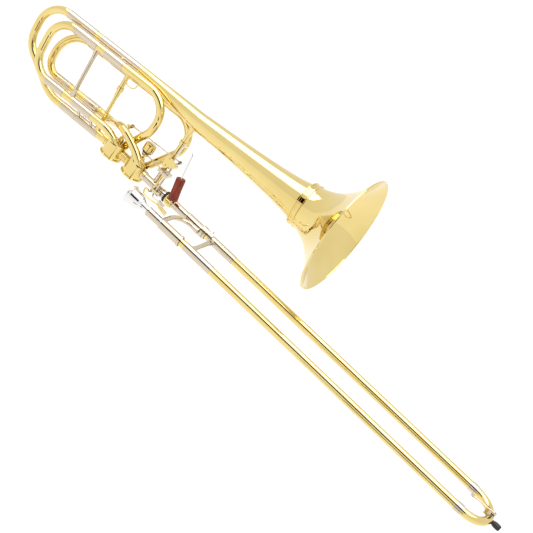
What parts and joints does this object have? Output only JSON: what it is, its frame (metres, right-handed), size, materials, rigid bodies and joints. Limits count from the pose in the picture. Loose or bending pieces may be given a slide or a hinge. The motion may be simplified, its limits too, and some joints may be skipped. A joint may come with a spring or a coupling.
{
  "type": "trombone",
  "caption": "Bass trombone with a telescoping hand slide, screw-on bell, tuning slides, a hand rest and in-line rotary valves worked by thumb levers.",
  "frame": {"origin": "on the axis of the bell-side slide tube, at the joint between hand slide and bell section where the left hand holds it", "axes": "+X forward along the hand slide, +Z from the slide towards the bell, -Y towards the mouthpiece side"},
  "size_m": [1.2986, 0.2409, 0.3367],
  "materials": {
    "lacquered_brass": "clear lacquered, polished",
    "nickel_silver": "polished nickel silver",
    "silver_plate": "silver plated, polished",
    "black_rubber": "matt",
    "grip_leather": "smooth red-brown hide over a firm core"
  },
  "bodies": {
    "instrument": {"inner_slide_tubes": "nickel_silver", "cork_barrels": "nickel_silver", "leadpipe": "nickel_silver", "slide_receivers": "nickel_silver", "inner_slide_brace": "nickel_silver", "neck_rubber_ring": "black_rubber", "neck_pipe": "nickel_silver", "bell_tail": "lacquered_brass", "bell_thread_ring": "lacquered_brass", "valve_casings": "lacquered_brass", "valve_caps": "lacquered_brass", "valve_lids": "lacquered_brass", "valve_connector": "lacquered_brass", "stop_bumpers": "black_rubber", "lower_leg_tube": "lacquered_brass", "f_front_bow": "lacquered_brass", "f_rear_bend": "lacquered_brass", "gb_front_bow": "lacquered_brass", "gb_rear_bend": "lacquered_brass", "main_slide_sleeves": "nickel_silver", "f_slide_sleeves": "nickel_silver", "gb_slide_sleeves": "nickel_silver", "rear_bell_brace": "lacquered_brass", "front_bell_brace": "lacquered_brass", "front_brace_sleeve": "nickel_silver", "slide_stays": "nickel_silver", "trigger_bracket": "lacquered_brass", "pivot_bearings": "nickel_silver"},
    "hand_slide": {"outer_slide_tubes": "lacquered_brass", "slide_oversleeves": "nickel_silver", "outer_slide_brace": "nickel_silver", "bow_ferrules": "nickel_silver", "slide_bow": "lacquered_brass", "bow_bumper": "black_rubber", "water_key_saddle": "nickel_silver"},
    "water_key": {"water_key_lever": "nickel_silver", "water_key_cork": "black_rubber"},
    "slide_lock": {"slide_lock_ring": "nickel_silver"},
    "lock_nut": {"bell_lock_nut": "lacquered_brass"},
    "main_tuning_slide": {"main_slide_bow": "lacquered_brass", "main_slide_legs": "nickel_silver"},
    "f_tuning_slide": {"f_slide_bow": "lacquered_brass", "f_slide_legs": "nickel_silver"},
    "gb_tuning_slide": {"gb_slide_bow": "lacquered_brass", "gb_slide_legs": "nickel_silver"},
    "f_lever": {"f_trigger": "nickel_silver"},
    "gb_lever": {"gb_trigger": "lacquered_brass"},
    "f_valve_rotor": {"f_rotor": "nickel_silver", "f_stop_arm": "lacquered_brass"},
    "gb_valve_rotor": {"gb_rotor": "nickel_silver", "gb_stop_arm": "lacquered_brass", "gb_drum_ring": "black_rubber", "gb_drum": "lacquered_brass"},
    "f_linkage": {"f_link_rod": "nickel_silver"},
    "gb_linkage": {"gb_link_rod": "nickel_silver"},
    "mouthpiece": {"mouthpiece": "silver_plate"},
    "screw_bell": {"bell_flare": "lacquered_brass"},
    "hand_rest": {"hand_rest_rod": "silver_plate", "hand_rest_roll": "grip_leather"}
  },
  "joints": [
    {"name": "hand_slide", "type": "slide", "parent": "instrument", "child": "hand_slide", "axis": [1, 0, 0], "range_m": [0, 0.6]},
    {"name": "water_key", "type": "hinge", "parent": "hand_slide", "child": "water_key", "pos_m": [0.8232, -0.0455, 0.00947], "axis": [0, 0.9962, 0.0872], "range_deg": [-14, 0], "stiffness_Nm_per_rad": 0.03, "springref_deg": 20.05},
    {"name": "slide_lock", "type": "hinge", "parent": "instrument", "child": "slide_lock", "pos_m": [0.1, 0, 0], "axis": [1, 0, 0], "range_deg": [-18, 0]},
    {"name": "bell_lock_nut", "type": "hinge", "parent": "instrument", "child": "lock_nut", "pos_m": [0.012, 0, 0], "axis": [1, 0, 0], "continuous": true},
    {"name": "main_tuning_slide", "type": "slide", "parent": "instrument", "child": "main_tuning_slide", "axis": [-0.9956, 0.0348, -0.0872], "range_m": [0, 0.045]},
    {"name": "f_tuning_slide", "type": "slide", "parent": "instrument", "child": "f_tuning_slide", "axis": [-0.9956, 0.0348, -0.0872], "range_m": [0, 0.035]},
    {"name": "gb_tuning_slide", "type": "slide", "parent": "instrument", "child": "gb_tuning_slide", "axis": [-0.9956, 0.0348, -0.0872], "range_m": [0, 0.025]},
    {"name": "f_trigger", "type": "hinge", "parent": "instrument", "child": "f_lever", "pos_m": [-0.0195, -0.012, 0.03], "axis": [0, 0, 1], "range_deg": [0, 18], "stiffness_Nm_per_rad": 0.4, "springref_deg": -17.19},
    {"name": "f_valve", "type": "hinge", "parent": "instrument", "child": "f_valve_rotor", "pos_m": [-0.1425, 0, 0], "axis": [0, 0, 1], "range_deg": [0, 90.01]},
    {"name": "f_link", "type": "slide", "parent": "instrument", "child": "f_linkage", "axis": [1, 0, 0], "range_m": [-0.00618, 0]},
    {"name": "gb_trigger", "type": "hinge", "parent": "instrument", "child": "gb_lever", "pos_m": [-0.0255, -0.012, 0.03], "axis": [0, 0, 1], "range_deg": [0, 18], "stiffness_Nm_per_rad": 0.4, "springref_deg": -17.19},
    {"name": "gb_valve", "type": "hinge", "parent": "instrument", "child": "gb_valve_rotor", "pos_m": [-0.0844, 0, 0], "axis": [0, 0, 1], "range_deg": [0, 90.01]},
    {"name": "gb_link", "type": "slide", "parent": "instrument", "child": "gb_linkage", "axis": [1, 0, 0], "range_m": [0, 0.00464]},
    {"name": "mouthpiece", "type": "slide", "parent": "instrument", "child": "mouthpiece", "axis": [-1, 0, 0], "range_m": [0, 0.05]},
    {"name": "screw_bell", "type": "slide", "parent": "instrument", "child": "screw_bell", "axis": [0.9956, -0.0348, 0.0872], "range_m": [0, 0.03]},
    {"name": "hand_rest", "type": "hinge", "parent": "instrument", "child": "hand_rest", "pos_m": [-0.0265, -0.008, 0.06], "axis": [0, 0, 1], "range_deg": [-12, 0]}
  ],
  "couplings": [
    {"joint": "f_valve", "follows": "f_trigger", "ratio": 5},
    {"joint": "f_link", "follows": "f_trigger", "m_per_rad": -0.019673},
    {"joint": "gb_valve", "follows": "gb_trigger", "ratio": 5},
    {"joint": "gb_link", "follows": "gb_trigger", "m_per_rad": 0.014754}
  ]
}
